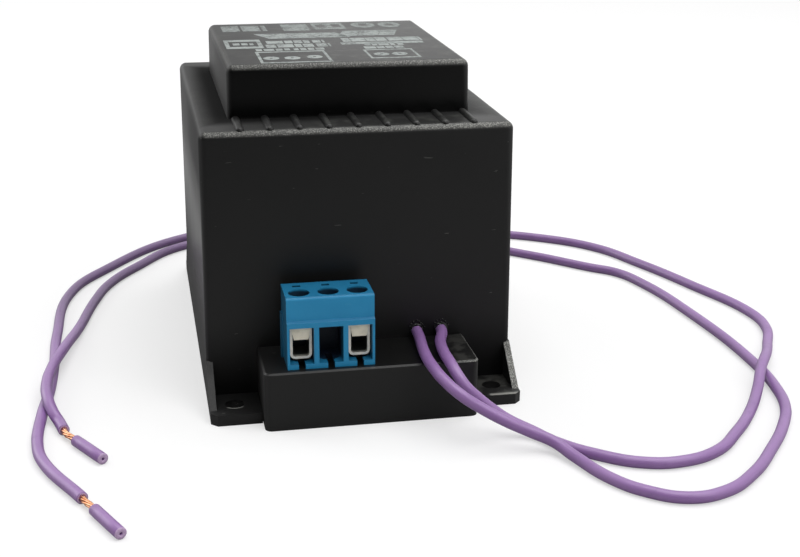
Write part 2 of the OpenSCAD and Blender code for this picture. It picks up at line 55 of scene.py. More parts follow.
RAISED_X, RAISED_Y = 21.9, 24.9  # half sizes of the raised part
LEDGE_TOP = 12.0  # just over the ledge and the tabs
TAB_HOLE = (-0.0235, -0.04, 0.002)  # rim of the front left tab's hole, in metres
FRONT_Y = -35.5
BLOCK_X, POLE_PITCH, BLOCK_TOP = -7.1, 5.08, 23.5
DRIVER_Y = -43.7

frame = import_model()
scene = bpy.context.scene


# ---------------------------------------------------------------- camera
def make_camera():
    """Camera in front of the part, a little to its left and above it."""
    yaw, pitch, roll = radians(-11.35), radians(18.97), radians(0.37)
    place = Vector((-38.42, -262.58, 101.75)) * MM
    forward = Vector((-sin(yaw) * cos(pitch), cos(yaw) * cos(pitch), -sin(pitch)))
    right = Vector((cos(yaw), sin(yaw), 0))
    up = right.cross(forward)
    side = cos(roll) * right + sin(roll) * up
    top = -sin(roll) * right + cos(roll) * up
    data = bpy.data.cameras.new("camera")
    data.sensor_width = 36
    data.lens = 61.25
    data.clip_start = 0.005
    camera = bpy.data.objects.new("camera", data)
    turn = Matrix((side, top, -forward)).transposed().to_4x4()
    camera.matrix_world = Matrix.Translation(place) @ turn
    scene.collection.objects.link(camera)
    scene.camera = camera


make_camera()

# ---------------------------------------------------------------- leads
LEAD_D = 2.0
EXIT_LIFT = 10.85
LEAD_A_X, LEAD_B_X = 10.3, 14.8
LOOSE_FROM = 12  # first knot that lies on the plane, past the drop from the exit
# knots of each lead: x, y and how far its underside lies above the plane
ROUTE_A = [
    (LEAD_A_X, -33.5, EXIT_LIFT), (LEAD_A_X, -36.5, EXIT_LIFT),
    (9.5, -46.5, 10.8), (9.7, -51.5, 10.5), (10.8, -55.8, 9.6), (12.9, -59.2, 8.2),
    (16, -60.5, 6.2), (20.1, -62.2, 4.1), (24.2, -63.4, 2.3), (27.6, -65.2, 1.1),
    (29.8, -69.3, 0.3), (33.4, -77.7, 0), (37.3, -82.7, 0), (43.1, -86, 0), (49.6, -85.1, 0),
    (56.6, -80.1, 0), (63.5, -72.3, 0), (69.4, -64.4, 0), (73.5, -57, 0), (75.7, -49, 0),
    (77, -36, 0), (75.6, -8, 0), (72.5, 11.8, 0), (69.4, 20.1, 0), (64.3, 25, 0),
    (53.9, 35.7, 0), (40, 47, 0), (16, 57, 0), (-10, 63.5, 0), (-27.6, 58.4, 0),
    (-39.6, 43.5, 0), (-45.6, 32.5, 0), (-48.5, 22.3, 0), (-51.5, 5.6, 0.2), (-54, -10.7, 1.8),
    (-56.1, -20.5, 2.2), (-56.7, -29, 2.2), (-55.9, -35.3, 1.9), (-54.9, -37.7, 0.8),
    (-54, -39.5, 0), (-53, -43.4, 0)]
ROUTE_B = [
    (LEAD_B_X, -33.5, EXIT_LIFT), (LEAD_B_X, -36.5, EXIT_LIFT),
    (13.4, -41.6, 10.8), (12.9, -47.3, 10.8), (13.1, -50.8, 10.5), (13.6, -53.7, 9.6),
    (14.7, -55.5, 8), (16.8, -56, 5.9), (19, -56.4, 4), (21.6, -57.3, 2.2), (26, -59.4, 0.3),
    (28.4, -63, 0), (34.2, -69.3, 0), (40.6, -73.3, 0), (47, -74, 0), (53.8, -71.6, 0),
    (60.3, -65.3, 0), (66.7, -57.2, 0), (72.2, -49, 0.7), (74.8, -43.5, 2.05),
    (77.6, -39.8, 2.2), (80.5, -34.7, 1.1), (83.9, -28, 0), (87.7, -19.5, 0), (88.5, -11, 0),
    (82.9, 9.1, 0), (76.9, 25.8, 0), (70.6, 39.3, 0), (59.8, 49.1, 0), (42, 57.5, 0),
    (16, 65, 0), (-10, 70, 0), (-27.3, 65, 0), (-47.3, 41.8, 0), (-53.5, 29.3, 0),
    (-55.9, 1.7, 0), (-55.8, -13.4, 0), (-56.1, -25.9, 0), (-57, -36.8, 0), (-57.1, -48.9, 0),
    (-55.9, -55.1, 0), (-49.4, -68.9, 0)]
# where each loosened slug begins, and the way it points from +X
SLUG_A = (-50.9, -47.9, -60)
SLUG_B = (-47.5, -72.9, -64.5)


def laid(route):
    """Centre line of a lead in metres. Where it passes over the other, its bends are eased."""
    line = [Vector((x, y, lift + LEAD_D / 2)) for x, y, lift in route]
    eased = [point.copy() for point in line]
    for i in range(LOOSE_FROM, len(line) - 3):
        if route[i][2] > 0.5:
            middle = (line[i - 1] + line[i + 1]) / 2
            eased[i].xy = line[i].xy.lerp(middle.xy, 0.4)
    return [point * MM for point in eased]


def make_lead(name, line):
    """Round tube along a centre line."""
    data = bpy.data.curves.new(name, "CURVE")
    data.dimensions = "3D"
    data.resolution_u = 10
    data.bevel_depth = LEAD_D / 2 * MM
    data.bevel_resolution = 8
    data.use_fill_caps = True
    spline = data.splines.new("BEZIER")
    spline.bezier_points.add(len(line) - 1)
    for knot, place in zip(spline.bezier_points, line):
        knot.co = place
        knot.handle_left_type = knot.handle_right_type = "AUTO"
    lead = bpy.data.objects.new(name, data)
    scene.collection.objects.link(lead)
    return lead


# ---------------------------------------------------------------- shader words
class Value:
    """A socket that can be used in a Python expression."""

    def __init__(self, look, socket):
        self.look, self.socket = look, socket

    def _math(self, operation, first, second=None, clamp=False):
        sockets = {0: first} if second is None else {0: first, 1: second}
        return self.look.node("Math", {"operation": operation, "use_clamp": clamp}, sockets)

    def __add__(self, other): return self._math("ADD", self, other)
    def __radd__(self, other): return self._math("ADD", other, self)
    def __sub__(self, other): return self._math("SUBTRACT", self, other)
    def __rsub__(self, other): return self._math("SUBTRACT", other, self)
    def __mul__(self, other): return self._math("MULTIPLY", self, other)
    def __rmul__(self, other): return self._math("MULTIPLY", other, self)
    def __abs__(self): return self._math("ABSOLUTE", self)

    def most(self, other): return self._math("MAXIMUM", self, other)
    def least(self, other): return self._math("MINIMUM", self, other)
    def clip(self): return self._math("ADD", self, 0.0, clamp=True)

    def ramp(self, low, high, out_low=0.0, out_high=1.0):
        return self.look.node("MapRange", {"interpolation_type": "SMOOTHSTEP"},
                              {"Value": self, "From Min": low, "From Max": high,
                               "To Min": out_low, "To Max": out_high})


class Look:
    """A material whose surface is built from expressions."""

    def __init__(self, name):
        self.material = bpy.data.materials.new(name)
        self.material.use_nodes = True
        self.tree = self.material.node_tree
        self.surface = self.tree.nodes["Principled BSDF"]
        self.at = self.node("TexCoord", {}, {}, "Object")

    def node(self, kind, settings, sockets, out=0):
        made = self.tree.nodes.new("ShaderNode" + kind)
        for key, value in settings.items():
            setattr(made, key, value)
        for key, value in sockets.items():
            if isinstance(value, Value):
                self.tree.links.new(value.socket, made.inputs[key])
            else:
                made.inputs[key].default_value = value
        return Value(self, made.outputs[out])

    def part(self, axis):
        """A coordinate of the part in millimetres."""
        return self.node("SeparateXYZ", {}, {0: self.at}, axis) * 1000.0

    def facing(self, axis):
        """How far the surface faces along an axis of the part, from -1 to 1."""
        normal = self.node("NewGeometry", {}, {}, "Normal")
        return self.node("SeparateXYZ", {}, {0: normal}, axis)

    def noise(self, size_mm, detail=2.0, rough=0.5, stretch=None, shift=0.0):
        """Cloudy grain of a size, stretched along the axes where its scale is under 1."""
        place = self.at
        if stretch:
            place = self.node("Mapping", {}, {"Vector": place, "Scale": stretch,
                                              "Location": (shift, shift, shift)})
        return self.node("TexNoise", {}, {"Vector": place, "Scale": 1 / (size_mm * MM),
                                          "Detail": detail, "Roughness": rough}, "Fac")

    def mix(self, share, low, high):
        """Colour that goes from low to high as share goes from 0 to 1."""
        return self.node("Mix", {"data_type": "RGBA"}, {0: share, 6: low, 7: high}, 2)

    def bumps(self, height, depth_mm, strength):
        return self.node("Bump", {}, {"Height": height, "Distance": depth_mm * MM,
                                      "Strength": strength})

    def wear(self, **sockets):
        """Sets or links sockets of the surface, and returns the material."""
        names = {"color": "Base Color", "rough": "Roughness", "metal": "Metallic",
                 "normal": "Normal", "specular": "Specular IOR Level", "alpha": "Alpha"}
        for key, value in sockets.items():
            socket = self.surface.inputs[names[key]]
            if isinstance(value, Value):
                self.tree.links.new(value.socket, socket)
            else:
                socket.default_value = value
        return self.material

    def paint_shade_film(self, share, color):
        """Lay a shineless dark film of painted shade over the surface, thick where share nears 1.
        """
        film = self.node("BsdfPrincipled", {}, {"Base Color": color, "Roughness": 1.0,
                                                "Specular IOR Level": 0.0})
        under = Value(self, self.surface.outputs[0])
        mixed = self.node("MixShader", {}, {0: share, 1: under, 2: film})
        self.tree.links.new(mixed.socket, self.tree.nodes["Material Output"].inputs["Surface"])


def rgb(r, g, b):
    """Linear colour from the usual 0 to 255 values."""
    return tuple((c / 255 / 12.92 if c <= 10 else ((c / 255 + 0.055) / 1.055) ** 2.4)
                 for c in (r, g, b)) + (1.0,)


def moulded_black():
    """Grained black plastic: near black seen square on, silvery at a grazing angle, with pale
    grains and a painted highlight along the worn top edges, and painted shade as a matte dark
    film in the corners."""
    look = Look("moulded_black")
    x, y, z = (look.part(axis) for axis in (0, 1, 2))
    left, up = look.facing(0), look.facing(2)
    grain = look.noise(0.3, 3.0, 0.6)
    sand = look.noise(0.22, 2.0, 0.7)
    cloud = look.noise(14.0, 3.0, 0.5)
    scuff = look.noise(3.2, 6.0, 0.62)
    lint = look.noise(0.35, 2.0, 0.5, stretch=(0.12, 1.0, 1.0), shift=0.3)
    top = up.ramp(0.55, 0.95)
    low = z.ramp(LEDGE_TOP, LEDGE_TOP - 2.0)
    high = z.ramp(38.0, 42.0)
    right = x.ramp(12.0, 22.0)
    # painted shade in the corners: foot of the raised top, low ledges on the left
    foot = ((abs(x) - RAISED_X).most(abs(y) - RAISED_Y).ramp(0.0, 6.0, 1.2, 0.0)
            * z.ramp(SHOULDER_Z + 1.5, SHOULDER_Z + 0.5))
    foot = (foot * high * top * x.ramp(8.0, 22.0, 1.0, 0.5)).clip()
    dim = 0.85 * low * top * (1.0 - right)
    # pale grains of wear along the top edges, over a continuous painted highlight band that is
    # stronger to the right and weaker on left-facing edges; not on the rib tips
    ribs = (z.ramp(SHOULDER_Z + 0.05, SHOULDER_Z + 0.2)
            * z.ramp(SHOULDER_Z + 2.5, SHOULDER_Z + 1.8))
    rim = up.ramp(0.25, 0.6) * up.ramp(0.9, 0.995, 1.0, 0.0) * left.ramp(-0.4, -0.15, 0.2, 1.0)
    outer = abs(y).ramp(33.9, 34.5).most(z.ramp(56.5, 57.5))
    worn = (rim * outer * x.ramp(0.0, 20.0, 1.0, 1.35) * high.most(right * 0.6).most(0.05)
            * (1.0 - 0.8 * ribs) * scuff.ramp(0.15, 0.5, 0.4, 1.0)
            * (0.18 + 0.82 * sand.ramp(0.48, 0.64)))
    # pale grains along the right gusset's edge, over a painted highlight band
    gusset = rim * low * right * y.ramp(-33.0, -36.0) * (0.2 + 0.8 * sand.ramp(0.5, 0.6))
    # greasy smears on the right of the ledge and of its tab
    smear = top * low * x.ramp(12.0, 16.0) * scuff.ramp(0.44, 0.6) * y.ramp(-34.0, -37.0)
    # rubbed front edge of the right-hand tab, and a painted highlight on the front rim of the
    # left-hand hole
    tab = top * x.ramp(19.0, 20.0) * y.ramp(-43.6, -44.2) * scuff.ramp(0.42, 0.5)
    hole = look.node("VectorMath", {"operation": "DISTANCE"}, {0: look.at, 1: TAB_HOLE},
                     "Value") * 1000.0
    glint = hole.ramp(1.72, 1.8) * hole.ramp(2.02, 2.1, 1.0, 0.0) * y.ramp(-41.2, -41.5) * top
    dust = top * high.most(0.12) * (0.2 * grain.ramp(0.5, 0.75) + 0.3 * scuff.ramp(0.46, 0.7))
    fleck = lint.ramp(0.75, 0.77) * up.ramp(-0.1, 0.3, 0.3, 1.0)
    over = z.ramp(SHOULDER_Z - 0.1, SHOULDER_Z + 0.5)
    raised = over * up.ramp(0.2, 0.5, 1.0, 0.0)
    color = look.mix(cloud, rgb(7, 7, 7), rgb(12, 12, 11))
    color = look.mix(raised * 0.8, color, rgb(3, 3, 3))
    color = look.mix((dust * x.ramp(-22.0, 0.0, 0.3, 1.0)).clip(), color, rgb(94, 96, 90))
    # painted shade: near black at the foot of the raised top and on the low ledges on the left
    color = look.mix(foot.most(dim), color, rgb(2, 2, 2))
    # pale mix: grains of wear, lint and rubbed marks, with the painted highlights along the top
    # edges, the right gusset's edge and the left hole's rim
    color = look.mix((0.66 * worn + 0.5 * fleck + 0.7 * tab + 0.5 * glint + 0.7 * gusset
                      + 0.11 * smear).clip(), color, rgb(164, 164, 158))
    flank = left.ramp(-0.9, -0.6, 1.0, 0.0)
    middle = z.ramp(8.0, 20.0) * z.ramp(40.0, 30.0)
    rough = (0.42 - 0.16 * raised + 0.08 * cloud + 0.12 * worn - 0.12 * smear
             + top * x.ramp(-24.0, 4.0, 0.18, 0.0) + 0.4 * foot - 0.14 * dim
             + flank * (z.ramp(30.0, 8.0) * 0.25 + z.ramp(36.0, 46.0) * 0.12
                        + high * y.ramp(20.0, -24.0) * 0.2 - 0.16 * middle))
    # painted shade as a matte dark film: the shoulder's corner, the raised front and behind the
    # tabs
    forward = look.facing(1).ramp(-0.5, -0.9)
    behind = forward * y.ramp(-38.0, -36.4) * z.ramp(17.0, 5.0) * abs(x + 3.0).ramp(14.0, 18.0)
    below = (forward * over * z.ramp(SHOULDER_Z + 7.5, SHOULDER_Z + 0.5, 0.25, 0.6)
             * x.ramp(-4.0, 20.0, 1.0, 0.3))
    film = (0.52 * foot * x.ramp(-10.0, 10.0, 1.0, 0.1)).most(0.6 * behind).most(below)
    look.paint_shade_film(film.clip(), rgb(6, 6, 6))
    height = grain * (0.4 + 0.6 * top) + 0.5 * sand * (top + rim)
    return look.wear(color=color, rough=rough.clip(), specular=0.5,
                     normal=look.bumps(height, 0.03, 0.5))


def purple_sleeve():
    """Lilac flexible sleeve with a waxy shine, handled, and darker behind the case by painted
    shade.
    """
    look = Look("purple_sleeve")
    cloud = look.noise(9.0, 3.0, 0.55)
    fine = look.noise(0.25, 3.0, 0.6)
    smear = look.noise(2.2, 4.0, 0.7).ramp(0.55, 0.8)
    # painted shade: darkens the sleeve behind the case, more to the left
    behind_case_shade = look.part(1).ramp(-12.0, 26.0) * look.part(0).ramp(30.0, -30.0, 0.25, 0.55)
    color = look.mix(cloud, rgb(138, 98, 160), rgb(162, 124, 182))
    color = look.mix(smear * 0.3, color, rgb(112, 84, 138))
    color = look.mix(behind_case_shade, color, rgb(74, 56, 88))
    return look.wear(color=color, rough=0.34 + 0.1 * cloud + 0.1 * smear, specular=0.8,
                     normal=look.bumps(fine, 0.012, 0.5))


def cut_sleeve():
    """Pale face where the sleeve was cut through."""
    look = Look("cut_sleeve")
    drag = look.noise(0.25, 3.0, 0.6, stretch=(1.0, 1.0, 0.3))
    return look.wear(color=look.mix(drag, rgb(176, 144, 186), rgb(206, 180, 212)), rough=0.5,
                     normal=look.bumps(drag, 0.015, 0.6))


def blue_moulding():
    """Blue terminal block with painted shade: darker on its sides and top, near black inside its
    openings.
    """
    look = Look("blue_moulding")
    x, y, z = (look.part(axis) for axis in (0, 1, 2))
    cloud = look.noise(5.0, 3.0, 0.5)
    fine = look.noise(0.18, 3.0, 0.6)
    dust = look.noise(0.8, 5.0, 0.7).ramp(0.58, 0.78)
    across = abs(x - BLOCK_X)
    near = across.least(abs(across - POLE_PITCH))
    along_y = y - DRIVER_Y
    hole = (near * near + along_y * along_y).ramp(3.95, 3.6) * z.ramp(BLOCK_TOP, BLOCK_TOP - 0.5)
    entry = y.ramp(-45.6, -43.4) * z.ramp(18.4, 17.8) * across.ramp(7.4, 7.2)
    notch = z.ramp(BLOCK_TOP - 0.05, BLOCK_TOP - 0.2) * y.ramp(-41.2, -40.9) * across.ramp(7.4, 7.2)
    color = look.mix(cloud, rgb(26, 132, 182), rgb(42, 148, 196))
    color = look.mix(dust * 0.2, color, rgb(104, 168, 194))
    # painted shade: darker on the top, then on the sides
    color = look.mix(look.facing(2).ramp(0.6, 0.95) * 0.5, color, rgb(12, 84, 118))
    flank = abs(look.facing(0)).ramp(0.6, 0.95).most(across.ramp(7.64, 7.7))
    color = look.mix(flank * 0.7, color, rgb(6, 56, 74))
    # painted shade: near black in the driver holes, the wire entries and the notches
    color = look.mix((0.92 * hole).most(entry).most(0.8 * notch), color, rgb(4, 18, 38))
    return look.wear(color=color, rough=0.42 + 0.12 * cloud, specular=0.45,
                     normal=look.bumps(fine, 0.012, 0.6))


def plated(name, tint, rough=0.24, grain=0.06, metal=1.0, inside=False):
    """Drawn and plated metal, with painted shade deep inside the block where asked."""
    look = Look(name)
    brush = look.noise(0.12, 2.0, 0.5, stretch=(1.0, 1.0, 0.15))
    stain = look.noise(1.1, 4.0, 0.6)
    color = look.mix(stain.ramp(0.4, 0.75) * 0.4, tint, tuple(c * 0.62 for c in tint[:3]) + (1,))
    if inside:
        # painted shade: darkens the metal deep inside the block
        color = look.mix(look.part(1).ramp(-45.35, -44.4) * 0.92, color, rgb(14, 14, 13))
    return look.wear(color=color, metal=metal, rough=rough + grain * brush + 0.14 * stain,
                     normal=look.bumps(brush, 0.004, 0.5))


def bare_copper():
    """Bright copper with a light brown stain."""
    look = Look("bare_copper")
    stain = look.noise(0.9, 4.0, 0.6)
    color = look.mix(stain.ramp(0.42, 0.7), rgb(242, 190, 150), rgb(222, 148, 104))
    return look.wear(color=color, metal=1.0, rough=0.28 + 0.16 * stain,
                     normal=look.bumps(look.noise(0.1), 0.004, 0.4))


def cured_resin(name="cured_resin", shine=0.3):
    """Black casting resin: flows flat, with shallow waves, pinholes and a dusty skin."""
    look = Look(name)
    wave = look.noise(9.0, 2.0, 0.4)
    pore = look.node("TexVoronoi", {}, {"Vector": look.at, "Scale": 1 / (2.4 * MM)}, "Distance")
    hole = pore.ramp(0.06, 0.14, 1.0, 0.0)
    dust = look.noise(1.4, 5.0, 0.68).ramp(0.52, 0.75)
    color = look.mix(dust * 0.35, rgb(18, 18, 18), rgb(66, 64, 60))
    return look.wear(color=color, rough=(shine + 0.25 * dust + 0.2 * hole).clip(), specular=0.5,
                     normal=look.bumps(wave - 0.5 * hole, 0.12, 0.5))


def plain(name, low, high, size_mm, rough, metal=0.0, depth=0.01):
    """Slightly cloudy finish between two colours."""
    look = Look(name)
    cloud = look.noise(size_mm, 4.0, 0.6)
    return look.wear(color=look.mix(cloud, rgb(*low), rgb(*high)), metal=metal,
                     rough=rough + 0.15 * cloud, normal=look.bumps(cloud, depth, 0.5))


def rolled_sheet():
    """Silicon steel with its rolling marks and a thin blue-grey scale."""
    look = Look("rolled_sheet")
    streak = look.noise(0.4, 3.0, 0.6, stretch=(0.08, 1.0, 1.0))
    scale = look.noise(4.0, 4.0, 0.6)
    color = look.mix(scale, rgb(104, 108, 116), rgb(142, 142, 144))
    return look.wear(color=color, metal=1.0, rough=0.38 + 0.2 * streak,
                     normal=look.bumps(streak, 0.01, 0.5))


def print_ink():
    """Pale stamped ink that has worn thin in places."""
    look = Look("print_ink")
    worn = look.noise(0.7, 5.0, 0.75)
    patch = look.noise(3.0, 3.0, 0.6)
    back = look.part(1).ramp(-4.0, 20.0, 0.0, 0.3)
    return look.wear(color=look.mix(worn, rgb(146, 152, 150), rgb(180, 188, 185)), rough=0.6,
                     alpha=((0.6 * worn + 0.5 * patch).ramp(0.36, 0.64, 0.4, 0.92)
                            * (1.0 - back)).clip())


BLACK = moulded_black()
PURPLE = purple_sleeve()
CUT = cut_sleeve()
BLUE = blue_moulding()
NICKEL = plated("nickel_plate", rgb(248, 245, 236), metal=0.6, inside=True)
IVORY = plated("guard_plate", rgb(252, 245, 224), rough=0.36, grain=0.1, metal=0.15)
SCREW = plated("screw_plate", rgb(150, 152, 152), rough=0.34)
COPPER = bare_copper()
RESIN = cured_resin()
SEEP = cured_resin("seeped_resin", 0.22)
SHEET = rolled_sheet()
WIRE = plain("enamelled_wire", (120, 58, 26), (156, 78, 36), 1.2, 0.25, depth=0.02)
TAPE = plain("yellow_tape", (196, 150, 38), (214, 170, 56), 6.0, 0.3)
FORMER = plain("natural_plastic", (198, 190, 170), (216, 208, 188), 5.0, 0.45)
SLEEVE = plain("woven_sleeve", (196, 188, 172), (222, 214, 198), 0.5, 0.6, depth=0.04)
FUSE = plain("fuse_can", (170, 172, 176), (196, 198, 200), 2.0, 0.3, metal=1.0)
INK = print_ink()


# ---------------------------------------------------------------- mesh words
def finish_piece(name, mesh_or_bm, material, smooth=True, stands_for=()):
    """Makes a piece of the part from a mesh, with its finish, slot and the node it replaces."""
    if isinstance(mesh_or_bm, bmesh.types.BMesh):
        mesh = bpy.data.meshes.new(name)
        bmesh.ops.recalc_face_normals(mesh_or_bm, faces=mesh_or_bm.faces)
        mesh_or_bm.to_mesh(mesh)
        mesh_or_bm.free()
    else:
        mesh = mesh_or_bm
    if mesh.materials:
        mesh.materials.clear()
    mesh.materials.append(material)
    mesh.polygons.foreach_set("use_smooth", [smooth] * len(mesh.polygons))
    piece = bpy.data.objects.new(name, mesh)
    scene.collection.objects.link(piece)
    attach(piece, "root")
    if stands_for:
        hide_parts(*stands_for)
    return piece


def lathe(profile, steps=32):
    """Spins a closed profile of (radius, height) points round Z."""
    bm = bmesh.new()
    verts = [bm.verts.new((r * MM, 0, z * MM)) for r, z in profile]
    edges = [bm.edges.new((a, b)) for a, b in zip(verts, verts[1:] + verts[:1])]
    bmesh.ops.spin(bm, geom=verts + edges, cent=(0, 0, 0), axis=(0, 0, 1), angle=2 * pi,
                   steps=steps, use_merge=True)
    bmesh.ops.remove_doubles(bm, verts=bm.verts, dist=1e-7)
    return bm


def along(point, direction):
    """Matrix that puts Z along a direction, at a point."""
    return Matrix.Translation(point) @ direction.to_track_quat("Z", "Y").to_matrix().to_4x4()


# ---------------------------------------------------------------- bare ends
STRAND_D = 1.1  # over all seven strands
SLUG_LEN = 9.2
STRAIGHT = 0.8  # straight stretch before and after the bend
GRIP = 4.0  # how far the strands reach into the slug


def bent_path(start, ahead, mouth, way, steps=30):
    """Points and directions from the end of a lead round the bend and into the slug."""
    inside = mouth + way * GRIP * MM
    first, last = start + ahead * STRAIGHT * MM, mouth - way * STRAIGHT * MM
    reach = (last - first).length * 0.4
    bend = geometry.interpolate_bezier(first, first + ahead * reach, last - way * reach, last,
                                       steps)
    points = [start - ahead * 0.3 * MM] + bend + [last.lerp(inside, k / 10) for k in range(1, 11)]
    ways = [(b - a).normalized() for a, b in zip(points, points[1:])]
    return points, ways + ways[-1:]


def twisted_strands(name, path):
    """Seven bare strands with a slow twist."""
    data = bpy.data.curves.new(name, "CURVE")
    data.dimensions = "3D"
    data.bevel_depth = 0.18 * MM
    data.bevel_resolution = 2
    data.use_fill_caps = True
    points, ways = path
    for strand in range(7):
        spline = data.splines.new("POLY")
        spline.points.add(len(points) - 1)
        out = 0.0 if strand == 0 else 0.36
        gone = 0.0
        for i, (knot, point, way) in enumerate(zip(spline.points, points, ways)):
            gone += (point - points[max(i - 1, 0)]).length / MM
            turn = strand * pi / 3 + 0.55 * gone
            wide = (out + 0.05 * sin(2.1 * gone + strand)) * MM
            side = way.cross(Vector((0, 0, 1)))
            knot.co = (*(point + wide * (cos(turn) * side + sin(turn) * side.cross(way))), 1)
    holder = bpy.data.objects.new(name + "_lines", data)
    scene.collection.objects.link(holder)
    bpy.context.view_layer.update()
    mesh = bpy.data.meshes.new_from_object(holder.evaluated_get(
        bpy.context.evaluated_depsgraph_get()))
    bpy.data.objects.remove(holder)
    mesh.name = name
    return mesh


def pale_ends(bm, height):
    """Gives faces that look along Z the second finish, below the mouth and above a height."""
    bmesh.ops.recalc_face_normals(bm, faces=bm.faces)
    for face in bm.faces:
        z = face.calc_center_median().z / MM
        if abs(face.normal.z) > 0.5 and (z < 0.1 or z > height - 0.1):
            face.material_index = 1


def loosened_slug(place, seed):
    """Cut piece of insulation, a little out of round, with softened ends and a narrow bore."""
    r, bore, pin, h = LEAD_D / 2, STRAND_D / 2 + 0.03, 0.22, SLUG_LEN
    bm = lathe([(bore, 0.12), (bore + 0.1, 0), (r - 0.14, 0), (r, 0.12), (r, h * 0.33),
                (r, h * 0.66), (r, h - 0.16), (r - 0.15, h), (pin + 0.08, h), (pin, h - 0.1),
                (pin, h * 0.7), (bore, h * 0.6)])
    pale_ends(bm, h)
    for v in bm.verts:
        push = noise.noise(v.co * 400 + Vector((seed, 0, 0))) * 0.06 * MM
        flat = Vector((v.co.x, v.co.y, 0))
        if flat.length > 0.8 * MM:
            v.co -= flat.normalized() * abs(push)
    bmesh.ops.transform(bm, matrix=place, verts=bm.verts)
    return bm


def cut_rim(place):
    """Slightly flared rim where the insulation was nicked and pulled back."""
    r = LEAD_D / 2
    bm = lathe([(0.5, -0.1), (r - 0.05, -0.5), (r - 0.01, -0.1), (r - 0.12, 0.12), (0.62, 0.06)])
    pale_ends(bm, 0.1)
    bmesh.ops.transform(bm, matrix=place, verts=bm.verts)
    return bm


def lead_with_end(letter, route, slug_at, seed):
    """Sleeve, bare strands, pulled rim and loosened slug of a flying lead."""
    node = "lead_" + letter
    line = laid(route)
    lead = make_lead(node + "_sleeve", line)
    lead.data.materials.append(PURPLE)
    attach(lead, "root")
    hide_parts(node)
    ahead = (line[-1] - line[-2]).normalized()
    end = along(line[-1], ahead)
    mouth = Vector((slug_at[0], slug_at[1], LEAD_D / 2)) * MM
    way = Vector((cos(radians(slug_at[2])), sin(radians(slug_at[2])), 0))
    path = bent_path(line[-1], ahead, mouth, way)
    copper = finish_piece(node + "_copper", twisted_strands(node + "_copper", path), COPPER,
                          stands_for=[node + "_strands"])
    slug = finish_piece(node + "_loose_slug", loosened_slug(along(mouth, way), seed), PURPLE,
                        stands_for=[node + "_slug"])
    rim = finish_piece(node + "_rim", cut_rim(end), PURPLE)
    for piece in (slug, rim):
        piece.data.materials.append(CUT)


lead_with_end("a", ROUTE_A, SLUG_A, 1.0)
lead_with_end("b", ROUTE_B, SLUG_B, 5.0)


# ---------------------------------------------------------------- CAD nodes keep their shape
def dress(material, *nodes):
    """Gives CAD nodes a finish and joined, smooth facets with their creases kept."""
    for name in nodes:
        node = frame["nodes"][name]
        node.data.materials.clear()
        node.data.materials.append(material)
        node.data.polygons.foreach_set("use_smooth", [True] * len(node.data.polygons))
        weld = node.modifiers.new("join", "WELD")
        weld.merge_threshold = 2e-6
        split = node.modifiers.new("creases", "EDGE_SPLIT")
        split.split_angle = radians(30)
        split.use_edge_sharp = False


dress(BLACK, "housing")
dress(RESIN, "potting_resin")
dress(SHEET, "core_e_sheets", "core_i_sheets", "core_welds")
dress(FORMER, "coil_former")
dress(WIRE, "primary_winding", "secondary_winding", "link_pin_to_fuse", "link_fuse_to_winding",
      "link_pin_to_winding", "secondary_tail_a", "secondary_tail_b")
dress(TAPE, "primary_tape", "secondary_tape")
dress(FUSE, "thermal_fuse")
dress(SLEEVE, "splice_a", "splice_b")
dress(BLUE, "terminal_block")
dress(NICKEL, "clamp_cage_left", "clamp_cage_right")
dress(IVORY, "wire_guard_left", "wire_guard_right")
dress(SCREW, "clamp_screw_left", "clamp_screw_right")


